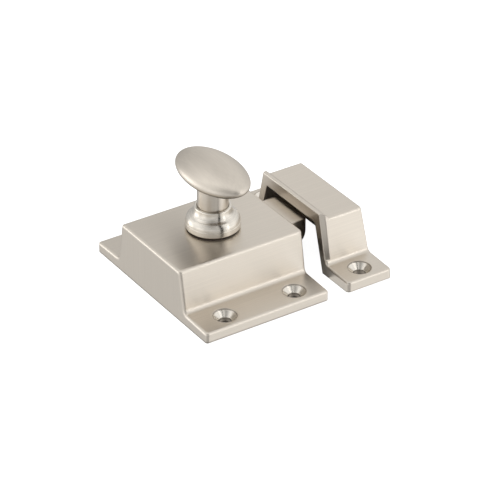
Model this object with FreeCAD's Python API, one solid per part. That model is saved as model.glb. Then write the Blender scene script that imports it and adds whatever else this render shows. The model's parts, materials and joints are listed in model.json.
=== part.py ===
import FreeCAD, Part
import math
import os

# Cupboard catch: a surface-mounted case with a turn knob and a sprung bolt, and its arched keeper.
# Millimetres. The origin is on the mounting plane, on the knob's axis.
# +X points from the case to the keeper, +Z out of the door.

# Case
case_left = 17.2             # knob axis to the closed end
case_right = 16.4            # knob axis to the bolt end
case_width = 48.0            # across both flanges
case_height = 13.25
flange_thickness = 2.9       # where the flange meets the hood
flange_draft = 0.3           # how much thinner the flange is at its outer edge
hood_top_width = 25.3        # flat top of the raised hood
hood_foot_width = 29.0       # hood where it meets the flanges
side_wall = 1.8
roof = 1.75
end_wall = 2.0
foot_radius = 1.1            # between hood and flange
crown_radius = 0.8           # along the hood's top edges
rim_radius = 0.55            # round the ends and flange edges
flange_corner_radius = 0.65
cavity_corner_radius = 0.8

# Mounting screws, number 4 countersunk
screw_hole = 2.9
countersink = 5.6
countersink_step = 0.2       # upright ring above the cone, at the hole's middle
case_screw_spacing_x = 19.05
screw_spacing_y = 39.6

# Keeper
catch_gap = 5.4              # between case and keeper
keeper_length = 12.4
keeper_step = 0.75           # keeper's top above the case's
keeper_roof = 1.7
keeper_corner_radius = 0.9   # flange corners, in plan
keeper_top_width = 25.2
keeper_foot_width = 30.0
keeper_end_lean = 0.075      # run for each unit of rise, on the closed end
mouth_top_width = 20.2
mouth_foot_width = 27.2
keeper_end_wall = 1.8
lip_rise = 1.2               # crest above the keeper's top
lip_crest = 1.0              # across the crest
lip_run = 2.2                # how far the lip reaches back on the top
lip_front_radius = 0.2
lip_back_radius = 0.5
lip_root = 1.0               # how far the lip goes down into the casting
mouth_bevel_run = 1.3        # bevel on each side of the mouth, measured along X
mouth_bevel_top = 0.65       # its depth at the crest
mouth_bevel_foot = 0.4       # and above the foot fillet

# Bolt
bolt_width = 12.2
bolt_thickness = 7.2
bolt_reach = 6.0             # top corner of the nose beyond the case
nose_radius = 5.5
nose_corner_radius = 1.4
shoulder_width = 15.0
bolt_travel = 5.5
bolt_clearance = 0.2         # above and below the bolt
guide_clearance = 0.15       # beside the bolt
drive_wall = 2.4             # wall that the cam pushes
drive_wall_width = 11.6
stop_gap = 0.1               # bolt's shoulder to the end wall at rest
guide_rib_thickness = 1.2
guide_rib_depth = 3.0

# Knob
head_length = 24.0           # along Y
head_width = 13.9            # along X
head_rise = 8.55             # head's widest line above the rose
head_crown = 3.3             # dome above the head's widest line
head_belly = 3.3             # and below it
neck_diameter = 7.4
neck_flare = 1.6
neck_flare_angle = 70.0      # degrees
neck_flare_drop = 4.0        # start of the flare below the head's widest line
neck_seat_gap = 0.15         # under the neck, inside the rose

# Rose, the bell-shaped collar
rose_diameter = 13.1
rose_height = 5.6
rose_band = 1.4              # upright band at the foot
rose_edge_radius = 0.4
rose_crease = 0.1            # step between band and bell
bell_bend_out = 0.62         # where the bell turns from round to hollow, as a share of its overhang
bell_bend_up = 0.52          # and of its height
bell_shoulder_in = 0.29      # middle of the round part, as shares of that part
bell_shoulder_up = 0.62
bell_throat_out = 0.24       # middle of the hollow part, as shares of that part
bell_throat_up = 0.42
rose_lip_diameter = 8.9
rose_lip_height = 0.75
rose_lip_radius = 0.28
rose_seat_depth = 2.1        # how deep the neck sits in the rose
rose_tail_diameter = 6.8
rose_tail_flare = 0.6        # spread end of the tail, under the roof
rose_tail_gap = 0.05
running_fit = 0.08           # radial, between turning pieces
washer_diameter = 12.3
washer_thickness = 0.45
washer_hole_gap = 0.1

# Spindle and cam
spindle_diameter = 4.4
spindle_square = 3.0
spindle_in_knob = 6.0
spindle_pin_diameter = 2.8
slot_gap = 0.2               # spindle in the bolt's slot
seat_gap = 0.02              # between pieces fixed to each other
knob_turn = 90.0             # degrees
cam_thickness = 2.6
cam_gap = 0.3                # above and below the cam
cam_rest_reach = 3.0         # cam face to the axis at rest
cam_running_gap = 0.1        # cam to drive wall
cam_hub_radius = 2.9
hub_clearance = 0.8          # cam's hub to the bolt's nose block when drawn back
cam_tip_width = 0.86
cam_tip_drop = 0.21          # back corner of the tip, nearer the axis
cam_flank_steps = 8

# Back plate, its screws and the end of the spindle
plate_thickness = 1.0
plate_gap = 0.15
plate_corner_radius = 1.0
boss_diameter = 4.0
boss_inset_x = 2.6           # boss centre from the end walls
boss_spacing_y = 19.8
plate_screw_diameter = 2.0
plate_screw_length = 4.6
plate_screw_head = 3.6
plate_screw_head_height = 1.1
plate_screw_clearance = 0.1
boss_hole_depth = 5.4
recess_width = 0.5
recess_length = 2.2
recess_depth = 0.6
head_bevel = 0.5
end_washer_diameter = 5.6
end_washer_thickness = 0.6
end_washer_gap = 0.2
cam_screw_diameter = 1.4
cam_screw_length = 3.6
cam_screw_head = 3.4
cam_screw_head_height = 1.0

# Bolt spring
spring_diameter = 5.4        # outside
spring_wire = 0.6
spring_turns = 3.0
spring_end_gap = 0.02
spigot_diameter = 3.2
spigot_length = 1.6

cut_over = 1.0               # how far a cutting solid runs past the surface it opens

# Levels and places that follow
ceiling = case_height - roof
keeper_height = case_height + keeper_step
mouth_height = keeper_height - keeper_roof
bolt_top = ceiling - bolt_clearance
bolt_bottom = bolt_top - bolt_thickness
plate_top = bolt_bottom - bolt_clearance
plate_bottom = plate_top - plate_thickness
cam_bottom = plate_top + cam_gap
cam_top = cam_bottom + cam_thickness
web_bottom = cam_top + cam_gap
cavity_left = end_wall - case_left
cavity_right = case_right - end_wall
shoulder_x = cavity_right - stop_gap
nose_top_x = case_right + bolt_reach
drive_face_x = -cam_rest_reach - cam_running_gap
tail_x = drive_face_x - drive_wall
spring_z = (ceiling + plate_top) / 2
mouth_x = case_right + catch_gap
keeper_end_x = mouth_x + keeper_length
rose_bottom = case_height + washer_thickness
rose_top = rose_bottom + rose_height
head_mid_height = rose_top + head_rise
neck_bottom = rose_top - rose_seat_depth + neck_seat_gap
spindle_top = neck_bottom + spindle_in_knob
pin_end = plate_bottom - end_washer_gap
cam_lead = bolt_travel / math.radians(knob_turn)     # bolt travel for each radian of the knob
boss_places = [
    (x, y)
    for x in (cavity_left + boss_inset_x, cavity_right - boss_inset_x)
    for y in (-boss_spacing_y / 2, boss_spacing_y / 2)
]

X_AXIS = FreeCAD.Vector(1, 0, 0)
Y_AXIS = FreeCAD.Vector(0, 1, 0)
Z_AXIS = FreeCAD.Vector(0, 0, 1)
SMALL = 0.01


def vec(x, y, z):
    return FreeCAD.Vector(x, y, z)


def face(points):
    return Part.Face(Part.makePolygon(points + points[:1]))


def prism_along_x(outline, x_start, x_end):
    """A solid with one (y, z) section from x_start to x_end."""
    section = face([vec(x_start, y, z) for y, z in outline])
    return section.extrude(vec(x_end - x_start, 0, 0))


def block(x_low, x_high, width, z_low, z_high):
    """A box that lies evenly about the XZ plane."""
    return Part.makeBox(x_high - x_low, width, z_high - z_low, vec(x_low, -width / 2, z_low))


def rod(diameter, z_low, z_high, x=0.0, y=0.0):
    return Part.makeCylinder(diameter / 2, z_high - z_low, vec(x, y, z_low))


def turned(edges):
    """A solid of revolution about Z from the edges of its closed (x, z) section."""
    section = Part.Face(Part.Wire(edges))
    return section.revolve(vec(0, 0, 0), Z_AXIS, 360)


def line(start, end):
    return Part.LineSegment(vec(start[0], 0, start[1]), vec(end[0], 0, end[1])).toShape()


def arc(start, middle, end):
    points = [vec(p[0], 0, p[1]) for p in (start, middle, end)]
    return Part.Arc(*points).toShape()


def chain(points):
    return [line(a, b) for a, b in zip(points, points[1:])]


def edges_along_x(shape, places):
    """The edges parallel to X that run through the given (y, z) places."""
    found = []
    for edge in shape.Edges:
        box = edge.BoundBox
        if box.YLength > SMALL or box.ZLength > SMALL:
            continue
        if any(abs(box.YMin - y) < SMALL and abs(box.ZMin - z) < SMALL for y, z in places):
            found.append(edge)
    return found


def upright_edges(shape, half_width):
    """The flange corners: edges that rise from the mounting plane at the outer sides."""
    found = []
    for edge in shape.Edges:
        box = edge.BoundBox
        outside = min(abs(box.YMin), abs(box.YMax)) > half_width - SMALL
        if outside and box.ZMin < SMALL and box.ZLength > flange_thickness / 2 and box.YLength < SMALL:
            found.append(edge)
    return found


def rim_edges(shape, half_width, corner_radius):
    """The closed line of edges round the ends and along the flange sides."""
    body = shape.BoundBox
    corner = corner_radius + SMALL
    found = []
    for edge in shape.Edges:
        box = edge.BoundBox
        if box.ZMin < flange_thickness / 2:
            continue
        reach = corner + (box.ZMax - flange_thickness + flange_draft) * keeper_end_lean
        at_end = box.XMax < body.XMin + corner or box.XMin > body.XMax - reach - corner
        at_side = min(abs(box.YMin), abs(box.YMax)) > half_width - corner
        if at_side or (at_end and box.XLength < corner + box.ZLength * keeper_end_lean):
            found.append(edge)
    return found


def hat_outline(top_width, foot_width, height):
    """Section across X: two flanges and a raised hood with sloping sides."""
    edge = case_width / 2
    return [
        (-edge, 0),
        (edge, 0),
        (edge, flange_thickness - flange_draft),
        (foot_width / 2, flange_thickness),
        (top_width / 2, height),
        (-top_width / 2, height),
        (-foot_width / 2, flange_thickness),
        (-edge, flange_thickness - flange_draft),
    ]


def hat_casting(top_width, foot_width, height, x_start, x_end, lean, corner_radius):
    """A flanged hood with rounded edges. Its far end leans back by lean for each unit of rise."""
    outline = hat_outline(top_width, foot_width, height)
    rise_below = flange_thickness * lean
    solid = prism_along_x(outline, x_start, x_end + rise_below)
    if lean > 0:
        solid = solid.cut(beyond_leaning_end(x_end, height, lean))
    feet = [(side * foot_width / 2, flange_thickness) for side in (-1, 1)]
    crowns = [(side * top_width / 2, height) for side in (-1, 1)]
    solid = solid.makeFillet(foot_radius, edges_along_x(solid, feet))
    solid = solid.makeFillet(crown_radius, edges_along_x(solid, crowns))
    solid = solid.makeFillet(corner_radius, upright_edges(solid, case_width / 2))
    return solid.makeFillet(rim_radius, rim_edges(solid, case_width / 2, corner_radius))


def beyond_leaning_end(x_end, height, lean):
    """All that lies past an end plane, which passes through x_end at the flange's top."""
    low_x = x_end + flange_thickness * lean
    high_z = height + cut_over
    high_x = x_end - (high_z - flange_thickness) * lean
    side = [(low_x, 0), (low_x + keeper_length, 0), (low_x + keeper_length, high_z), (high_x, high_z)]
    corners = [vec(x, -case_width, z) for x, z in side]
    return face(corners).extrude(vec(0, 2 * case_width, 0))


def countersunk_hole(x, y, foot_width):
    """A hole whose cone ends in a short upright ring, because the flange's top falls outwards."""
    share = (abs(y) - foot_width / 2) / (case_width / 2 - foot_width / 2)
    surface = flange_thickness - flange_draft * share
    hole = rod(screw_hole, -cut_over, surface, x, y)
    depth = (countersink - screw_hole) / 2
    cone_top = surface - countersink_step
    cone = Part.makeCone(screw_hole / 2, countersink / 2, depth, vec(x, y, cone_top - depth))
    mouth = rod(countersink, cone_top, surface + cut_over, x, y)
    return hole.fuse([cone, mouth])


def cavity_half_width(z):
    """Half the width inside the case's side walls at height z."""
    slope = (hood_foot_width - hood_top_width) / 2 / (case_height - flange_thickness)
    outside = hood_top_width / 2 + (case_height - z) * slope
    return outside - side_wall * math.sqrt(1 + slope ** 2)


def make_case():
    shell = hat_casting(
        hood_top_width, hood_foot_width, case_height, -case_left, case_right, 0, flange_corner_radius
    )
    low = cavity_half_width(0)
    high = cavity_half_width(ceiling)
    section = [(-low, 0), (low, 0), (high, ceiling), (-high, ceiling)]
    cavity = prism_along_x(section, cavity_left, cavity_right)
    ends = [e for e in cavity.Edges if e.BoundBox.XLength < SMALL and e.BoundBox.ZLength > ceiling / 2]
    cavity = cavity.makeFillet(cavity_corner_radius, ends)
    rib_y = shoulder_width / 2 + guide_clearance
    inside = [rod(boss_diameter, plate_top, ceiling + SMALL, x, y) for x, y in boss_places]
    for y in (rib_y, -rib_y - guide_rib_thickness):
        inside.append(
            Part.makeBox(
                cavity_right - cavity_left,
                guide_rib_thickness,
                guide_rib_depth,
                vec(cavity_left, y, ceiling - guide_rib_depth),
            )
        )
    room = cavity.cut(inside)
    spigot = Part.makeCylinder(spigot_diameter / 2, spigot_length, vec(cavity_left, 0, spring_z), X_AXIS)
    room = room.cut(spigot)
    case = shell.cut(room)
    gate_width = bolt_width + 2 * guide_clearance
    gate = block(cavity_right - cut_over, case_right + cut_over, gate_width, plate_top, ceiling)
    tail_hole = rod(rose_tail_diameter + 2 * rose_tail_gap, ceiling - cut_over, case_height + cut_over)
    tail_radius = rose_tail_diameter / 2 + rose_tail_gap
    spread = Part.makeCone(tail_radius + rose_tail_flare, tail_radius, rose_tail_flare, vec(0, 0, ceiling))
    cuts = [gate, tail_hole, spread]
    for x in (-case_screw_spacing_x / 2, case_screw_spacing_x / 2):
        for y in (-screw_spacing_y / 2, screw_spacing_y / 2):
            cuts.append(countersunk_hole(x, y, hood_foot_width))
    for x, y in boss_places:
        pilot = plate_screw_diameter + plate_screw_clearance
        cuts.append(rod(pilot, plate_top - cut_over, plate_top + boss_hole_depth, x, y))
    return case.cut(cuts)


def make_keeper():
    casting = hat_casting(
        keeper_top_width,
        keeper_foot_width,
        keeper_height,
        mouth_x,
        keeper_end_x,
        keeper_end_lean,
        keeper_corner_radius,
    )
    casting = casting.fuse(make_lip())
    foot = mouth_foot_width / 2
    top = mouth_top_width / 2
    section = [(-foot, 0), (foot, 0), (top, mouth_height), (-top, mouth_height)]
    mouth = prism_along_x(section, mouth_x - cut_over, keeper_end_x)
    mouth = mouth.cut(beyond_leaning_end(keeper_end_x - keeper_end_wall, keeper_height, keeper_end_lean))
    middle = (mouth_x + keeper_end_x) / 2
    cuts = [mouth, mouth_side_bevel(1), mouth_side_bevel(-1)]
    for side in (-1, 1):
        cuts.append(countersunk_hole(middle, side * screw_spacing_y / 2, keeper_foot_width))
    return casting.cut(cuts).removeSplitter()


def keeper_half_width(z):
    """Half the width over the keeper's sloping sides at height z, carried on up past its top."""
    slope = (keeper_foot_width - keeper_top_width) / 2 / (keeper_height - flange_thickness)
    return keeper_top_width / 2 + (keeper_height - z) * slope


def make_lip():
    """The raised lip along the top of the mouth, with rounded ends in line with the keeper's sides."""
    crest_z = keeper_height + lip_rise
    root_z = keeper_height - lip_root
    crest_y = keeper_half_width(crest_z)
    root_y = keeper_half_width(root_z)
    outline = [(-root_y, root_z), (root_y, root_z), (crest_y, crest_z), (-crest_y, crest_z)]
    lip = prism_along_x(outline, mouth_x, mouth_x + lip_run)
    ends = [(side * crest_y, crest_z) for side in (-1, 1)]
    lip = lip.makeFillet(crown_radius, edges_along_x(lip, ends))
    low_front = (mouth_x, root_z)
    high_front = (mouth_x, crest_z)
    high_back = (mouth_x + lip_crest, crest_z)
    low_back = (mouth_x + lip_run, keeper_height)
    last = (mouth_x + lip_run, root_z)
    front = rounding(low_front, high_front, high_back, lip_front_radius)
    back = rounding(high_front, high_back, low_back, lip_back_radius)
    edges = [line(low_front, front[0]), arc(*front), line(front[2], back[0]), arc(*back)]
    edges += chain([back[2], low_back, last, low_front])
    section = Part.Face(Part.Wire(edges))
    section.translate(vec(0, -keeper_foot_width, 0))
    return lip.common(section.extrude(vec(0, 2 * keeper_foot_width, 0)))


def rounding(before, corner, after, radius):
    """Start, middle and end of the arc that rounds a corner of an (x, z) outline."""
    into = (vec(before[0], 0, before[1]) - vec(corner[0], 0, corner[1])).normalize()
    out = (vec(after[0], 0, after[1]) - vec(corner[0], 0, corner[1])).normalize()
    half_angle = into.getAngle(out) / 2
    reach = radius / math.tan(half_angle)
    inward = (into + out).normalize()
    to_middle = radius / math.sin(half_angle) - radius
    steps = (into * reach, inward * to_middle, out * reach)
    return [(corner[0] + step.x, corner[1] + step.z) for step in steps]


def mouth_side_bevel(side):
    """What is cut from one side (1 or -1 along Y) to bevel its edge at the mouth, up to the crest."""
    low_z = flange_thickness + foot_radius
    crest_z = keeper_height + lip_rise
    high_z = crest_z + cut_over
    rate = (mouth_bevel_top - mouth_bevel_foot) / (crest_z - low_z)
    low = side_bevel_wire(side, low_z, mouth_bevel_foot)
    high = side_bevel_wire(side, high_z, mouth_bevel_foot + rate * (high_z - low_z))
    return Part.makeLoft([low, high], True, True)


def side_bevel_wire(side, z, depth):
    """The bevel's closed section at height z, which runs on past the mouth's plane."""
    outer = keeper_half_width(z)
    inner = outer - depth * (1 + cut_over / mouth_bevel_run)
    outside = outer + cut_over
    front_x = mouth_x - cut_over
    back_x = mouth_x + mouth_bevel_run
    places = [(front_x, inner), (back_x, outer), (back_x, outside), (front_x, outside)]
    points = [vec(x, side * y, z) for x, y in places]
    return Part.makePolygon(points + points[:1])


def make_bolt():
    nose_z = bolt_bottom + nose_radius
    centre_x = nose_top_x - math.sqrt(nose_radius ** 2 - (bolt_top - nose_z) ** 2)
    block_x = bolt_travel + cam_hub_radius + hub_clearance
    tip = (centre_x + nose_radius, nose_z)
    low = (centre_x + nose_radius * math.cos(math.pi / 4), nose_z - nose_radius * math.sin(math.pi / 4))
    side = [
        line((block_x, bolt_top), (nose_top_x, bolt_top)),
        arc((nose_top_x, bolt_top), tip, low),
        arc(low, (centre_x + nose_radius * math.cos(3 * math.pi / 8),
                  nose_z - nose_radius * math.sin(3 * math.pi / 8)), (centre_x, bolt_bottom)),
        line((centre_x, bolt_bottom), (block_x, bolt_bottom)),
        line((block_x, bolt_bottom), (block_x, bolt_top)),
    ]
    nose = Part.Face(Part.Wire(side)).extrude(vec(0, bolt_width, 0))
    nose.translate(vec(0, -bolt_width / 2, 0))
    plan = block(block_x - cut_over, centre_x + nose_radius - SMALL, bolt_width, 0, case_height)
    corners = [e for e in plan.Edges if e.BoundBox.XMin > block_x and e.BoundBox.ZLength > SMALL]
    plan = plan.makeFillet(nose_corner_radius, corners)
    nose = nose.common(plan)
    web = block(tail_x, shoulder_x, shoulder_width, web_bottom, bolt_top)
    drive = block(tail_x, drive_face_x, drive_wall_width, bolt_bottom, bolt_top)
    spigot = Part.makeCylinder(
        spigot_diameter / 2, spigot_length + SMALL, vec(tail_x - spigot_length, 0, spring_z), X_AXIS
    )
    bolt = nose.fuse([web, drive, spigot]).removeSplitter()
    slot_width = spindle_diameter + 2 * slot_gap
    low = web_bottom - cam_gap
    high = bolt_top + cut_over
    slot = rod(slot_width, low, high).fuse([
        rod(slot_width, low, high, bolt_travel),
        block(0, bolt_travel, slot_width, low, high),
    ])
    return bolt.cut(slot)


def cam_flank(turn):
    """A point of the involute that meets the flat drive wall when the knob has turned by turn."""
    reach = cam_rest_reach + cam_lead * turn
    x = -reach * math.cos(turn) + cam_lead * math.sin(turn)
    y = reach * math.sin(turn) + cam_lead * math.cos(turn)
    return vec(x, y, cam_bottom)


def make_cam():
    full_turn = math.radians(knob_turn)
    points = [cam_flank(full_turn * i / cam_flank_steps) for i in range(cam_flank_steps + 1)]
    flank = Part.BSplineCurve()
    flank.interpolate(points)
    start = points[0]
    tip = points[-1]
    tip_angle = math.atan2(tip.y, tip.x)
    outward = vec(math.cos(tip_angle), math.sin(tip_angle), 0)
    across = vec(math.sin(tip_angle), -math.cos(tip_angle), 0)
    tip_back = tip + across * cam_tip_width - outward * cam_tip_drop
    tip_top = tip + across * cam_tip_width / 2
    hub_left = vec(-cam_hub_radius, 0, cam_bottom)
    hub_low = vec(0, -cam_hub_radius, cam_bottom)
    hub_right = vec(cam_hub_radius, 0, cam_bottom)
    waist = (hub_right + tip_back) / 2 - across * cam_tip_width / 2
    edges = [
        flank.toShape(),
        Part.Arc(tip, tip_top, tip_back).toShape(),
        Part.Arc(tip_back, waist, hub_right).toShape(),
        Part.Arc(hub_right, hub_low, hub_left).toShape(),
        Part.LineSegment(hub_left, start).toShape(),
    ]
    cam = Part.Face(Part.Wire(Part.__sortEdges__(edges))).extrude(vec(0, 0, cam_thickness))
    hole = spindle_square + 2 * seat_gap
    return cam.cut(block(-hole / 2, hole / 2, hole, cam_bottom - cut_over, cam_top + cut_over))


def make_spindle():
    shank_bottom = cam_top + seat_gap
    shank = rod(spindle_diameter, shank_bottom, spindle_top)
    half = spindle_square / 2
    square = block(-half, half, spindle_square, cam_bottom, shank_bottom + SMALL)
    square = square.common(rod(spindle_diameter, cam_bottom, shank_bottom + SMALL))
    pin = rod(spindle_pin_diameter, pin_end, cam_bottom + SMALL)
    thread = rod(cam_screw_diameter + 2 * seat_gap, pin_end - cut_over, pin_end + cam_screw_length)
    return shank.fuse([square, pin]).cut(thread)


def make_knob():
    round_radius = head_width / 2
    top = head_mid_height + head_crown
    bottom = head_mid_height - head_belly
    section = [
        ellipse_quarter(round_radius, head_crown, 1),
        ellipse_quarter(round_radius, head_belly, -1),
        line((0, bottom), (0, top)),
    ]
    head = turned(Part.__sortEdges__(section))
    stretch = FreeCAD.Matrix()
    stretch.scale(1, head_length / head_width, 1)
    head = head.transformGeometry(stretch)
    neck_radius = neck_diameter / 2
    flare_start = (neck_radius, head_mid_height - neck_flare_drop)
    flare_middle = neck_flare_point(flare_start, neck_flare_angle / 2)
    flare_end = neck_flare_point(flare_start, neck_flare_angle)
    side = chain([(0, neck_bottom), (neck_radius, neck_bottom), flare_start])
    side.append(arc(flare_start, flare_middle, flare_end))
    side += chain([flare_end, (flare_end[0], head_mid_height), (0, head_mid_height), (0, neck_bottom)])
    knob = head.fuse(turned(side))
    return knob.cut(rod(spindle_diameter + 2 * seat_gap, neck_bottom - cut_over, spindle_top + seat_gap))


def neck_flare_point(start, degrees):
    """A point of the round flare under the head, which leaves the neck upright at start."""
    angle = math.radians(degrees)
    x = start[0] + neck_flare * (1 - math.cos(angle))
    return x, start[1] + neck_flare * math.sin(angle)


def ellipse_quarter(radius, rise, side):
    """A quarter ellipse from the head's widest line to its pole, above (1) or below (-1)."""
    centre = vec(0, 0, head_mid_height)
    curve = Part.Ellipse(centre + vec(radius, 0, 0), centre + vec(0, 0, side * rise), centre)
    return curve.toShape(0, math.pi / 2)


def make_rose():
    base = rose_diameter / 2
    lip = rose_lip_diameter / 2
    tail = rose_tail_diameter / 2
    seat = neck_diameter / 2 + running_fit
    bore = spindle_diameter / 2 + running_fit
    band_top = rose_bottom + rose_band
    neck_z = rose_top - rose_lip_height
    bell_base = base - rose_crease
    bend_r = lip + (bell_base - lip) * bell_bend_out
    bend_z = band_top + (neck_z - band_top) * bell_bend_up
    shoulder_r = bell_base - (bell_base - bend_r) * bell_shoulder_in
    shoulder_z = band_top + (bend_z - band_top) * bell_shoulder_up
    throat_r = lip + (bend_r - lip) * bell_throat_out
    throat_z = bend_z + (neck_z - bend_z) * bell_throat_up
    turn = rose_edge_radius * (1 - math.sqrt(0.5))
    lip_turn = rose_lip_radius * (1 - math.sqrt(0.5))
    tail_end = ceiling + rose_tail_gap
    section = chain([
        (bore, tail_end),
        (tail + rose_tail_flare - rose_tail_gap, tail_end),
        (tail, tail_end + rose_tail_flare),
        (tail, rose_bottom),
        (base - rose_edge_radius, rose_bottom),
    ])
    section.append(arc((base - rose_edge_radius, rose_bottom), (base - turn, rose_bottom + turn),
                       (base, rose_bottom + rose_edge_radius)))
    bell_foot = (bell_base, band_top + rose_crease)
    section += chain([(base, rose_bottom + rose_edge_radius), (base, band_top), bell_foot])
    section.append(arc(bell_foot, (shoulder_r, shoulder_z), (bend_r, bend_z)))
    section.append(arc((bend_r, bend_z), (throat_r, throat_z), (lip, neck_z)))
    section.append(line((lip, neck_z), (lip, rose_top - rose_lip_radius)))
    section.append(arc((lip, rose_top - rose_lip_radius), (lip - lip_turn, rose_top - lip_turn),
                       (lip - rose_lip_radius, rose_top)))
    section += chain([
        (lip - rose_lip_radius, rose_top),
        (seat + lip_turn, rose_top),
        (seat, rose_top - lip_turn),
        (seat, rose_top - rose_seat_depth),
        (bore, rose_top - rose_seat_depth),
        (bore, tail_end),
    ])
    return turned(section)


def make_rose_washer():
    washer = rod(washer_diameter, case_height, rose_bottom)
    hole = rose_tail_diameter + 2 * washer_hole_gap
    return washer.cut(rod(hole, case_height - cut_over, rose_bottom + cut_over))


def make_back_plate():
    width = 2 * (cavity_half_width(plate_top) - plate_gap)
    plate = block(cavity_left + plate_gap, cavity_right - plate_gap, width, plate_bottom, plate_top)
    corners = [e for e in plate.Edges if e.BoundBox.ZLength > plate_thickness / 2]
    plate = plate.makeFillet(plate_corner_radius, corners)
    low = plate_bottom - cut_over
    high = plate_top + cut_over
    holes = [rod(spindle_pin_diameter + 2 * running_fit, low, high)]
    for x, y in boss_places:
        holes.append(rod(plate_screw_diameter + 2 * plate_screw_clearance, low, high, x, y))
    return plate.cut(holes)


def cross_recess(x, y, z_face):
    """Two crossed slots cut upwards into a screw head from its face."""
    slots = []
    for length, width in ((recess_length, recess_width), (recess_width, recess_length)):
        corner = vec(x - length / 2, y - width / 2, z_face - SMALL)
        slots.append(Part.makeBox(length, width, recess_depth + SMALL, corner))
    return slots[0].fuse(slots[1])


def pan_screw(x, y, seat_z, diameter, length, head_diameter, head_height):
    """A small pan-head screw, driven upwards, its head under seat_z."""
    head = rod(head_diameter, seat_z - head_height, seat_z, x, y)
    low_edge = [e for e in head.Edges if e.BoundBox.ZMax < seat_z - head_height / 2]
    head = head.makeChamfer(head_bevel, low_edge)
    shank = rod(diameter, seat_z - SMALL, seat_z + length, x, y)
    return head.fuse(shank).cut(cross_recess(x, y, seat_z - head_height))


def make_plate_screw(place):
    x, y = place
    return pan_screw(x, y, plate_bottom, plate_screw_diameter, plate_screw_length,
                     plate_screw_head, plate_screw_head_height)


def make_end_washer():
    washer = rod(end_washer_diameter, pin_end - end_washer_thickness, pin_end)
    hole = rod(cam_screw_diameter + 2 * plate_screw_clearance, 0, pin_end + cut_over)
    return washer.cut(hole)


def make_cam_screw():
    reach = cam_screw_length + end_washer_thickness - plate_screw_clearance
    return pan_screw(0, 0, pin_end - end_washer_thickness, cam_screw_diameter, reach,
                     cam_screw_head, cam_screw_head_height)


def make_spring():
    """A coil between the end wall and the bolt's tail, ground flat at both ends."""
    start = cavity_left + spring_end_gap
    end = tail_x - spring_end_gap
    pitch = (end - start) / (spring_turns - 1)
    radius = (spring_diameter - spring_wire) / 2
    helix = Part.makeHelix(pitch, pitch * spring_turns, radius)
    wire = Part.Wire(Part.Circle(vec(radius, 0, 0), Y_AXIS, spring_wire / 2).toShape())
    coil = Part.Wire(helix.Edges).makePipeShell([wire], True, True)
    coil.rotate(vec(0, 0, 0), Y_AXIS, 90)
    coil.translate(vec(start - pitch / 2, 0, spring_z))
    room = Part.makeBox(end - start, 4 * spring_diameter, 4 * spring_diameter,
                        vec(start, -2 * spring_diameter, spring_z - 2 * spring_diameter))
    return coil.common(room)


def main():
    os.makedirs("parts", exist_ok=True)
    parts = {
        "case": make_case(),
        "keeper": make_keeper(),
        "bolt": make_bolt(),
        "bolt_spring": make_spring(),
        "knob": make_knob(),
        "rose": make_rose(),
        "rose_washer": make_rose_washer(),
        "spindle": make_spindle(),
        "cam": make_cam(),
        "end_washer": make_end_washer(),
        "cam_screw": make_cam_screw(),
        "back_plate": make_back_plate(),
    }
    for number, place in enumerate(boss_places, 1):
        parts["plate_screw_%d" % number] = make_plate_screw(place)
    for name, shape in parts.items():
        shape.exportStep("parts/%s.step" % name)
        print(name, "valid", shape.isValid(), "solids", len(shape.Solids), "volume", round(shape.Volume, 2))


main()
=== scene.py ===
import json
import math

import bmesh
import bpy
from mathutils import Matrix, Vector


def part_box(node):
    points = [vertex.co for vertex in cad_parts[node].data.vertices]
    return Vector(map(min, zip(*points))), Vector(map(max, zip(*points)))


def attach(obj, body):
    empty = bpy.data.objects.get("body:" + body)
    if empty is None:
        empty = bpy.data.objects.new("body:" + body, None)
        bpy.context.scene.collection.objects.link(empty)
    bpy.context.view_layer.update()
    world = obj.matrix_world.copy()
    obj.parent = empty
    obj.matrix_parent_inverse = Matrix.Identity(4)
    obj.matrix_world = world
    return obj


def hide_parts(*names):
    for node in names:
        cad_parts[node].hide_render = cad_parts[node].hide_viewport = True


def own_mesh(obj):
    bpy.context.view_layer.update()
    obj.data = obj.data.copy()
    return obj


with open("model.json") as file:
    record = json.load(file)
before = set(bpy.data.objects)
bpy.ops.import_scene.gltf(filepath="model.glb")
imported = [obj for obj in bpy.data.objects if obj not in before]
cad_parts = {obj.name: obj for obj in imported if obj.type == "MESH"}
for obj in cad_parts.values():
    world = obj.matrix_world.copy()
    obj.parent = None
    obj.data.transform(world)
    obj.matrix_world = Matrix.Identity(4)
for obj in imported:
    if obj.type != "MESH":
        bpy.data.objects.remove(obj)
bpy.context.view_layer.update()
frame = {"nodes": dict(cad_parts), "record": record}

nodes = frame["nodes"]
MM = 0.001

# Camera, in metres and the part's own frame. The focal length is in photograph pixels.
CAMERA_PLACE = (-0.30137, -0.47313, 0.35400)
CAMERA_FORWARD = (0.4668, 0.7118, -0.5248)
FOCAL_PIXELS = 2819.5
IMAGE_PIXELS = 490
SENSOR_MM = 36.0

# Metals, as linear reflectance
NICKEL = (0.703, 0.645, 0.566)
BRIGHT_NICKEL = (0.85, 0.80, 0.72)
STEEL = (0.52, 0.515, 0.50)
ZINC = (0.60, 0.615, 0.63)

# Painted shade: a dark colour in the bores, in the corner under a countersink's rim and under the
# knob's head
SHADE_PAINT = (0.28, 0.245, 0.205)
RIM_RADIUS = 2.80 * MM
BORE_RADIUS = 1.45 * MM
HEAD_DEPTH = 7.2 * MM         # from the knob's top down to its neck

# Washer
DARK_FIBRE = (0.020, 0.012, 0.007)
LIGHT_FIBRE = (0.055, 0.036, 0.022)

# Brush lines, and how wide a worn edge looks
LINE_WIDTH = 0.15 * MM
LINE_LENGTH = 30 * MM
LINE_DEPTH = 0.0014 * MM
SOFT_EDGE = 0.7 * MM

# Spring
SPRING_WIRE = 0.6 * MM
SPRING_TURNS = 3
SPRING_STEPS = 40            # for each turn
WIRE_SIDES = 14

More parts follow.
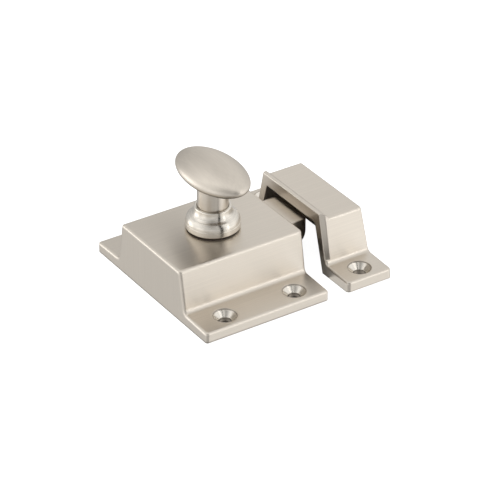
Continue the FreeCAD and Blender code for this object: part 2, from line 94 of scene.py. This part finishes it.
# Stage. The greys are linear reflectance, and the bearing is in degrees.
FLOOR_SIDE = 6.0
FLOOR_GAP = 0.1 * MM
FLOOR_GREY = 0.5
FLOOR_GLOW = 0.95
# Grey sheets of painted shade on the floor under the screw holes, seen through the holes
HOLE_SHADE_SIDE = 4.0 * MM
HOLE_SHADE_GREY = 0.45
# A dark card of painted shade under the keeper, seen only in the metal
CARD_WIDTH = 32 * MM
CARD_GREY = 0.36
FLAG_BEARING = 37
FLAG_DISTANCE = 0.5
FLAG_WIDTH = 0.12
FLAG_HEIGHT = 1.0
FLAG_GREY = 0.02


def put(tree, kind, inputs=None, **settings):
    """Adds a node, sets its options, and fills its inputs with sockets or plain values."""
    made = tree.nodes.new(kind)
    for name, value in settings.items():
        setattr(made, name, value)
    for name, value in (inputs or {}).items():
        if isinstance(value, bpy.types.NodeSocket):
            tree.links.new(value, made.inputs[name])
        else:
            made.inputs[name].default_value = value
    return made


def calc(tree, operation, *values):
    made = put(tree, "ShaderNodeMath", dict(enumerate(values)), operation=operation)
    return made.outputs[0]


def remap(tree, value, low, high, to_low, to_high):
    made = put(tree, "ShaderNodeMapRange", {
        "Value": value,
        "From Min": low,
        "From Max": high,
        "To Min": to_low,
        "To Max": to_high,
    })
    return made.outputs["Result"]


def noise(tree, place, sizes, detail=3.0, roughness=0.55):
    """Noise whose grains have the given sizes along X, Y and Z, in metres."""
    scale = tuple(1 / size for size in sizes)
    mapped = put(tree, "ShaderNodeMapping", {"Vector": place, "Scale": scale})
    made = put(tree, "ShaderNodeTexNoise", {
        "Vector": mapped.outputs[0],
        "Scale": 1.0,
        "Detail": detail,
        "Roughness": roughness,
    })
    return made.outputs["Fac"]


def blend_values(tree, share, first, second):
    made = put(tree, "ShaderNodeMix", {0: share, 2: first, 3: second}, data_type="FLOAT")
    return made.outputs[0]


def shade(tree, share, first, second):
    """Blends two colours. Each one is a socket or three plain numbers."""
    colours = [c if isinstance(c, bpy.types.NodeSocket) else (*c, 1) for c in (first, second)]
    made = put(tree, "ShaderNodeMix", {0: share, 6: colours[0], 7: colours[1]}, data_type="RGBA")
    return made.outputs[2]


def split(tree, vector):
    return put(tree, "ShaderNodeSeparateXYZ", {0: vector}).outputs


def cross(tree, first, second):
    made = put(tree, "ShaderNodeVectorMath", {0: first, 1: second}, operation="CROSS_PRODUCT")
    return made.outputs[0]


def surface_normal(tree):
    return tree.nodes.new("ShaderNodeNewGeometry").outputs["Normal"]


def flat_length(tree, x, y):
    """The length of a level vector."""
    squares = calc(tree, "ADD", calc(tree, "MULTIPLY", x, x), calc(tree, "MULTIPLY", y, y))
    return calc(tree, "SQRT", squares)


def scaled(colour, factor):
    return tuple(min(1.0, c * factor) for c in colour)


def start_material(name, metallic=1.0):
    material = bpy.data.materials.new(name)
    material.use_nodes = True
    tree = material.node_tree
    shader = tree.nodes["Principled BSDF"]
    shader.inputs["Metallic"].default_value = metallic
    place = tree.nodes.new("ShaderNodeTexCoord")
    return material, tree, shader, place


def finish_surface(tree, shader, colour, roughness, height, depth, softened_edge=0):
    tree.links.new(colour, shader.inputs["Base Color"])
    tree.links.new(roughness, shader.inputs["Roughness"])
    bump = put(tree, "ShaderNodeBump", {"Height": height, "Distance": depth, "Strength": 1.0})
    if softened_edge:
        bevel = put(tree, "ShaderNodeBevel", {"Radius": softened_edge}, samples=6)
        tree.links.new(bevel.outputs[0], bump.inputs["Normal"])
    tree.links.new(bump.outputs[0], shader.inputs["Normal"])


def set_brushed(shader, amount, across):
    """Blurs reflections more across the brush lines than along them."""
    shader.inputs["Anisotropic"].default_value = amount
    shader.id_data.links.new(across, shader.inputs["Tangent"])


def line_pattern(tree, place):
    """Fine brush lines: along X on tops and slopes, upright on the ends.

    Gives the pattern and the direction across the lines.
    """
    point = place.outputs["Object"]
    along = noise(tree, point, (LINE_LENGTH, LINE_WIDTH, LINE_WIDTH), 2.0)
    upright = noise(tree, point, (LINE_LENGTH, LINE_WIDTH, LINE_LENGTH), 2.0)
    facing_x = calc(tree, "ABSOLUTE", split(tree, place.outputs["Normal"])["X"])
    on_end = remap(tree, facing_x, 0.6, 0.8, 0, 1)
    elsewhere = calc(tree, "SUBTRACT", 1.0, on_end)
    line_way = put(tree, "ShaderNodeCombineXYZ", {"X": elsewhere, "Z": on_end})
    across = cross(tree, surface_normal(tree), line_way.outputs[0])
    faint = remap(tree, upright, 0, 1, 0.2, 0.8)
    return blend_values(tree, on_end, along, faint), across


def hole_distance(tree, point, mount):
    """How far a point is from the axis of a bolt pattern's nearest hole."""
    centre = mount["pos_m"]
    half_x = mount["dims"].get("spacing_x_mm", 0) * MM / 2
    half_y = mount["dims"]["spacing_y_mm"] * MM / 2
    axes = split(tree, point)
    from_x = calc(tree, "SUBTRACT", axes["X"], centre[0])
    off_x = calc(tree, "SUBTRACT", calc(tree, "ABSOLUTE", from_x), half_x)
    off_y = calc(tree, "SUBTRACT", calc(tree, "ABSOLUTE", axes["Y"]), half_y)
    return flat_length(tree, off_x, off_y)


def satin_nickel(name, mount_name=None, softened_edge=SOFT_EDGE):
    """Brushed plating.

    The countersinks of the named screw pattern are brighter and smoother, with painted shade in the
    bore and in the corner under the rim.
    """
    material, tree, shader, place = start_material(name)
    point = place.outputs["Object"]
    lines, across = line_pattern(tree, place)
    handling = noise(tree, point, (9 * MM, 9 * MM, 9 * MM), 2.0)
    streaks = remap(tree, lines, 0.35, 0.65, 0, 1)
    colour = shade(tree, streaks, scaled(NICKEL, 0.97), scaled(NICKEL, 1.03))
    roughness = remap(tree, lines, 0.3, 0.7, 0.29, 0.32)
    roughness = calc(tree, "ADD", roughness, remap(tree, handling, 0.3, 0.7, -0.01, 0.03))
    height = lines
    if mount_name:
        mounts = {m["name"]: m for m in frame["record"]["mounts"]}
        distance = hole_distance(tree, point, mounts[mount_name])
        upper_side = remap(tree, split(tree, place.outputs["Normal"])["Z"], -0.9, -0.5, 0, 1)
        inside = remap(tree, distance, RIM_RADIUS - 0.08 * MM, RIM_RADIUS, upper_side, 0)
        roughness = blend_values(tree, inside, roughness, 0.21)
        colour = shade(tree, inside, colour, BRIGHT_NICKEL)
        height = calc(tree, "MULTIPLY", lines, calc(tree, "SUBTRACT", 1.0, inside))
        # Painted shade: a dark colour in the bore, and in the corner under the rim except on
        # downward faces
        bore = remap(tree, distance, BORE_RADIUS, BORE_RADIUS + 0.1 * MM, 1, 0)
        from_rim = calc(tree, "ABSOLUTE", calc(tree, "SUBTRACT", distance, RIM_RADIUS))
        rim = remap(tree, from_rim, 0.03 * MM, 0.10 * MM, 0.6, 0)
        painted_shade = calc(tree, "MAXIMUM", bore, calc(tree, "MULTIPLY", rim, upper_side))
        colour = shade(tree, painted_shade, colour, SHADE_PAINT)
    finish_surface(tree, shader, colour, roughness, height, LINE_DEPTH, softened_edge)
    set_brushed(shader, 0.8, across)
    return material


def across_rings(tree):
    """The direction along a turned piece's profile, at right angles to its rings."""
    round_axis = put(tree, "ShaderNodeTangent", direction_type="RADIAL", axis="Z").outputs[0]
    return cross(tree, surface_normal(tree), round_axis)


def turned_rings(tree, place, ring_height):
    """Fine lines round Z, as a lathe or a polishing wheel leaves them."""
    axes = split(tree, place.outputs["Object"])
    radius = flat_length(tree, axes["X"], axes["Y"])
    ring = put(tree, "ShaderNodeCombineXYZ", {"X": radius, "Z": axes["Z"]})
    return noise(tree, ring.outputs[0], (ring_height, 1.0, ring_height), 2.0)


def knob_nickel():
    """Satin on the head, with painted shade under it, and turned rings on the neck."""
    material, tree, shader, place = start_material("knob_nickel")
    point = place.outputs["Object"]
    head = noise(tree, point, (0.35 * MM, 9 * MM, 0.35 * MM))
    rings = turned_rings(tree, place, 0.22 * MM)
    neck_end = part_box("knob")[1].z - HEAD_DEPTH
    on_head = remap(tree, split(tree, point)["Z"], neck_end, neck_end + 0.4 * MM, 0, 1)
    lines = blend_values(tree, on_head, rings, head)
    streaks = remap(tree, lines, 0.35, 0.65, 0, 1)
    upper = shade(tree, streaks, scaled(NICKEL, 0.97), scaled(NICKEL, 1.03))
    # Painted shade: the underside of the head is darkened, which also darkens its reflection in the
    # case's top
    underneath = remap(tree, split(tree, surface_normal(tree))["Z"], -0.65, -0.3, 1, 0)
    colour = shade(tree, underneath, upper, scaled(SHADE_PAINT, 0.75))
    roughness = blend_values(tree, on_head, 0.28, 0.41)
    height = calc(tree, "MULTIPLY", lines, blend_values(tree, on_head, 1.0, 0.45))
    finish_surface(tree, shader, colour, roughness, height, LINE_DEPTH)
    set_brushed(shader, 0.4, across_rings(tree))
    return material


def bright_nickel():
    """Polished plating with faint turned rings, slightly uneven."""
    material, tree, shader, place = start_material("bright_nickel")
    rings = turned_rings(tree, place, 0.35 * MM)
    waves = noise(tree, place.outputs["Object"], (3 * MM, 3 * MM, 2 * MM), 1.0)
    streaks = remap(tree, rings, 0.35, 0.65, 0, 1)
    colour = shade(tree, streaks, scaled(BRIGHT_NICKEL, 0.95), scaled(BRIGHT_NICKEL, 1.03))
    roughness = remap(tree, rings, 0.3, 0.7, 0.25, 0.28)
    height = calc(tree, "ADD", calc(tree, "MULTIPLY", rings, 0.4), waves)
    finish_surface(tree, shader, colour, roughness, height, LINE_DEPTH)
    set_brushed(shader, 1.0, across_rings(tree))
    return material


def plain_steel(name, colour, grain, smoothest, roughest):
    """Turned, stamped or drawn metal with a fine grain and slight stains."""
    material, tree, shader, place = start_material(name)
    point = place.outputs["Object"]
    fine = noise(tree, point, (grain, grain, grain), 4.0)
    broad = noise(tree, point, (3 * MM, 3 * MM, 3 * MM), 2.0)
    mixed = calc(tree, "MULTIPLY", calc(tree, "ADD", fine, broad), 0.5)
    tone = shade(tree, mixed, scaled(colour, 0.82), scaled(colour, 1.12))
    roughness = remap(tree, mixed, 0.3, 0.7, smoothest, roughest)
    finish_surface(tree, shader, tone, roughness, fine, LINE_DEPTH)
    return material


def dark_fibre():
    material, tree, shader, place = start_material("dark_fibre", metallic=0.0)
    fine = noise(tree, place.outputs["Object"], (0.08 * MM, 0.08 * MM, 0.08 * MM), 4.0)
    colour = shade(tree, fine, DARK_FIBRE, LIGHT_FIBRE)
    roughness = remap(tree, fine, 0.3, 0.7, 0.6, 0.85)
    finish_surface(tree, shader, colour, roughness, fine, 4 * LINE_DEPTH)
    return material


def dress(material, *names):
    for name in names:
        slots = nodes[name].data.materials
        slots.clear()
        slots.append(material)


def make_spring(material):
    """The coil, ground flat at both ends."""
    low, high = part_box("bolt_spring")
    coil_radius = (high.y - low.y - SPRING_WIRE) / 2
    middle_z = (low.z + high.z) / 2
    length = high.x - low.x
    pitch = length / (SPRING_TURNS - 1)
    mesh = bmesh.new()
    rings = []
    for step in range(SPRING_TURNS * SPRING_STEPS + 1):
        turn = 2 * math.pi * step / SPRING_STEPS
        out = Vector((0, math.sin(turn), -math.cos(turn)))
        along = low.x + pitch * (step / SPRING_STEPS - 0.5)
        centre = out * coil_radius + Vector((along, 0, middle_z))
        around = Vector((0, math.cos(turn), math.sin(turn))) * coil_radius
        forward = around + Vector((pitch / (2 * math.pi), 0, 0))
        side = forward.normalized().cross(out)
        ring = []
        for corner in range(WIRE_SIDES):
            angle = 2 * math.pi * corner / WIRE_SIDES
            offset = (out * math.cos(angle) + side * math.sin(angle)) * SPRING_WIRE / 2
            ring.append(mesh.verts.new(centre + offset))
        rings.append(ring)
    for first, second in zip(rings, rings[1:]):
        for corner in range(WIRE_SIDES):
            following = (corner + 1) % WIRE_SIDES
            mesh.faces.new((first[corner], first[following], second[following], second[corner]))
    for face in mesh.faces:
        face.smooth = True
    for x, facing in ((low.x, -1), (high.x, 1)):
        everything = mesh.verts[:] + mesh.edges[:] + mesh.faces[:]
        cut = bmesh.ops.bisect_plane(
            mesh, geom=everything, plane_co=(x, 0, 0), plane_no=(facing, 0, 0), clear_outer=True
        )
        rim = [item for item in cut["geom_cut"] if isinstance(item, bmesh.types.BMEdge)]
        bmesh.ops.holes_fill(mesh, edges=rim)
    bmesh.ops.recalc_face_normals(mesh, faces=mesh.faces)
    data = bpy.data.meshes.new("spring_coil")
    mesh.to_mesh(data)
    mesh.free()
    data.materials.append(material)
    coil = bpy.data.objects.new("spring_coil", data)
    bpy.context.scene.collection.objects.link(coil)
    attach(coil, "bolt_unit")
    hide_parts("bolt_spring")
    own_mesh(coil)


def hole_places(mount):
    half_x = mount["dims"].get("spacing_x_mm", 0) * MM / 2
    half_y = mount["dims"]["spacing_y_mm"] * MM / 2
    x, y = mount["pos_m"][:2]
    return sorted({(x + a * half_x, y + b * half_y) for a in (-1, 1) for b in (-1, 1)})


def stage_sheet(name, places, grey, glow=0.0):
    """A four-cornered stage surface, which may give some light of its own."""
    data = bpy.data.meshes.new(name)
    data.from_pydata(places, [], [(0, 1, 2, 3)])
    sheet = bpy.data.objects.new(name, data)
    bpy.context.scene.collection.objects.link(sheet)
    material, _, shader, _ = start_material(name, metallic=0.0)
    shader.inputs["Base Color"].default_value = (grey, grey, grey, 1)
    shader.inputs["Roughness"].default_value = 0.8
    shader.inputs["Specular IOR Level"].default_value = 0.2
    shader.inputs["Emission Color"].default_value = (1, 1, 1, 1)
    shader.inputs["Emission Strength"].default_value = glow
    data.materials.append(material)
    return sheet


def flat_sheet(name, low, high, z, grey, glow=0.0):
    """A level sheet from corner low to corner high."""
    left, front = low
    right, back = high
    places = [(left, front, z), (right, front, z), (right, back, z), (left, back, z)]
    return stage_sheet(name, places, grey, glow)


def show_in_metal_only(sheet):
    sheet.visible_camera = False
    sheet.visible_diffuse = False
    sheet.visible_shadow = False


def make_flag():
    """A tall dark strip beside the camera, seen only in the metal, most of all in the rose."""
    middle = Vector(studio_direction(FLAG_BEARING, 0)) * FLAG_DISTANCE
    aside = Vector((-middle.y, middle.x, 0)).normalized() * FLAG_WIDTH / 2
    left, right = middle - aside, middle + aside
    foot, top = Vector((0, 0, -FLAG_HEIGHT / 4)), Vector((0, 0, FLAG_HEIGHT))
    places = [left + foot, right + foot, right + top, left + top]
    show_in_metal_only(stage_sheet("dark_flag", places, FLAG_GREY))


def make_floor():
    """A white floor with some light of its own, and a grey sheet of painted shade under each screw
    hole.

    The metal mirrors the studio in place of the floor, and a dark card of painted shade below the
    keeper's mouth.
    """
    half = FLOOR_SIDE / 2
    floor = flat_sheet("floor", (-half, -half), (half, half), -FLOOR_GAP, FLOOR_GREY, FLOOR_GLOW)
    floor.visible_glossy = False
    near_left = (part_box("case")[1].x, -CARD_WIDTH / 2)
    far_right = (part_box("keeper")[1].x, CARD_WIDTH / 2)
    card = flat_sheet("shadow_card", near_left, far_right, -FLOOR_GAP / 2, CARD_GREY)
    show_in_metal_only(card)
    reach = HOLE_SHADE_SIDE / 2
    for mount in frame["record"]["mounts"]:
        if mount["kind"] == "bolt_pattern":
            for x, y in hole_places(mount):
                low, high = (x - reach, y - reach), (x + reach, y + reach)
                # Painted shade: a grey sheet seen through the hole in place of the glowing floor
                mat = flat_sheet("hole_shade_sheet", low, high, -FLOOR_GAP / 4, HOLE_SHADE_GREY)
                mat.visible_glossy = False


def studio_direction(bearing, height):
    """A level bearing of 0 is towards the camera, 90 to its right. All angles are in degrees."""
    away = Vector(CAMERA_FORWARD[:2]).normalized()
    turn, rise = math.radians(bearing), math.radians(height)
    x = away.y * math.sin(turn) - away.x * math.cos(turn)
    y = -away.x * math.sin(turn) - away.y * math.cos(turn)
    return x * math.cos(rise), y * math.cos(rise), math.sin(rise)


def soft_light(tree, facing, bearing, height, spread, brightness):
    """A round soft light, brightest in the middle and gone at its spread, in degrees."""
    middle = studio_direction(bearing, height)
    toward = put(tree, "ShaderNodeVectorMath", {0: facing, 1: middle}, operation="DOT_PRODUCT")
    glow = put(tree, "ShaderNodeMapRange", {
        "Value": toward.outputs["Value"],
        "From Min": math.cos(math.radians(spread)),
        "From Max": 1.0,
        "To Max": brightness,
    }, interpolation_type="SMOOTHSTEP")
    return glow.outputs["Result"]


def make_studio():
    """White walls on four sides, with a darker one behind the camera, and soft lights on them."""
    world = bpy.data.worlds.new("studio")
    world.use_nodes = True
    bpy.context.scene.world = world
    tree = world.node_tree
    facing = put(tree, "ShaderNodeTexCoord").outputs["Generated"]
    lights = [
        soft_light(tree, facing, bearing=0, height=0, spread=80, brightness=0.17),
        soft_light(tree, facing, bearing=-60, height=0, spread=80, brightness=0.66),
        soft_light(tree, facing, bearing=-120, height=0, spread=80, brightness=0.56),
        soft_light(tree, facing, bearing=60, height=0, spread=80, brightness=0.43),
        soft_light(tree, facing, bearing=120, height=0, spread=80, brightness=0.76),
        soft_light(tree, facing, bearing=60, height=-30, spread=45, brightness=0.37),
        soft_light(tree, facing, bearing=2, height=-12, spread=24, brightness=0.35),
        soft_light(tree, facing, bearing=64, height=12, spread=10, brightness=2.16),
        soft_light(tree, facing, bearing=-103, height=-8, spread=22, brightness=1.47),
        soft_light(tree, facing, bearing=180, height=12, spread=18, brightness=0.25),
        soft_light(tree, facing, bearing=66, height=38, spread=18, brightness=0.50),
        soft_light(tree, facing, bearing=-52, height=-5, spread=22, brightness=0.50),
        soft_light(tree, facing, bearing=45, height=60, spread=30, brightness=0.60),
        soft_light(tree, facing, bearing=-90, height=60, spread=30, brightness=0.56),
        soft_light(tree, facing, bearing=180, height=65, spread=50, brightness=0.56),
        soft_light(tree, facing, bearing=180, height=90, spread=32, brightness=0.39),
        soft_light(tree, facing, bearing=0, height=90, spread=95, brightness=0.12),
    ]
    total = lights[0]
    for light in lights[1:]:
        total = calc(tree, "ADD", total, light)
    background = tree.nodes["Background"]
    tree.links.new(total, background.inputs["Strength"])
    background.inputs["Color"].default_value = (1, 1, 1, 1)


def make_lamp(name, aim, bearing, height, distance, side, glow):
    """A square soft box near the part, which lights the side next to it most."""
    data = bpy.data.lights.new(name, "AREA")
    data.size = side
    data.energy = glow * math.pi * side * side
    lamp = bpy.data.objects.new(name, data)
    bpy.context.scene.collection.objects.link(lamp)
    direction = Vector(studio_direction(bearing, height))
    lamp.location = Vector(aim) + direction * distance
    lamp.rotation_mode = "QUATERNION"
    lamp.rotation_quaternion = (-direction).to_track_quat("-Z", "Y")
    lamp.visible_camera = False


def make_camera():
    data = bpy.data.cameras.new("camera")
    data.sensor_width = SENSOR_MM
    data.lens = FOCAL_PIXELS / IMAGE_PIXELS * SENSOR_MM
    data.clip_start = 0.05
    data.clip_end = 20
    camera = bpy.data.objects.new("camera", data)
    bpy.context.scene.collection.objects.link(camera)
    camera.location = CAMERA_PLACE
    camera.rotation_mode = "QUATERNION"
    camera.rotation_quaternion = Vector(CAMERA_FORWARD).to_track_quat("-Z", "Y")
    bpy.context.scene.camera = camera


def dress_pieces():
    dress(satin_nickel("case_nickel", "case_screws"), "case")
    dress(satin_nickel("keeper_nickel", "keeper_screws", SOFT_EDGE / 2), "keeper")
    dress(satin_nickel("bolt_nickel"), "bolt")
    dress(knob_nickel(), "knob")
    dress(bright_nickel(), "rose")
    dress(dark_fibre(), "rose_washer")
    turned_steel = plain_steel("turned_steel", STEEL, 0.12 * MM, 0.25, 0.40)
    dress(turned_steel, "spindle", "cam", "end_washer", "cam_screw")
    screw_steel = plain_steel("screw_steel", STEEL, 0.10 * MM, 0.20, 0.34)
    dress(screw_steel, "plate_screw_1", "plate_screw_2", "plate_screw_3", "plate_screw_4")
    dress(plain_steel("zinc_plate", ZINC, 0.6 * MM, 0.22, 0.42), "back_plate")
    make_spring(plain_steel("spring_steel", scaled(STEEL, 0.8), 0.08 * MM, 0.22, 0.34))


def main():
    dress_pieces()
    make_floor()
    make_flag()
    make_studio()
    low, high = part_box("keeper")
    keeper_top = ((low.x + high.x) / 2, 0, high.z)
    make_lamp(
        "keeper_lamp", keeper_top, bearing=180, height=32, distance=0.10, side=0.05, glow=0.18
    )
    make_camera()
    bpy.context.scene.view_settings.view_transform = "Standard"


main()
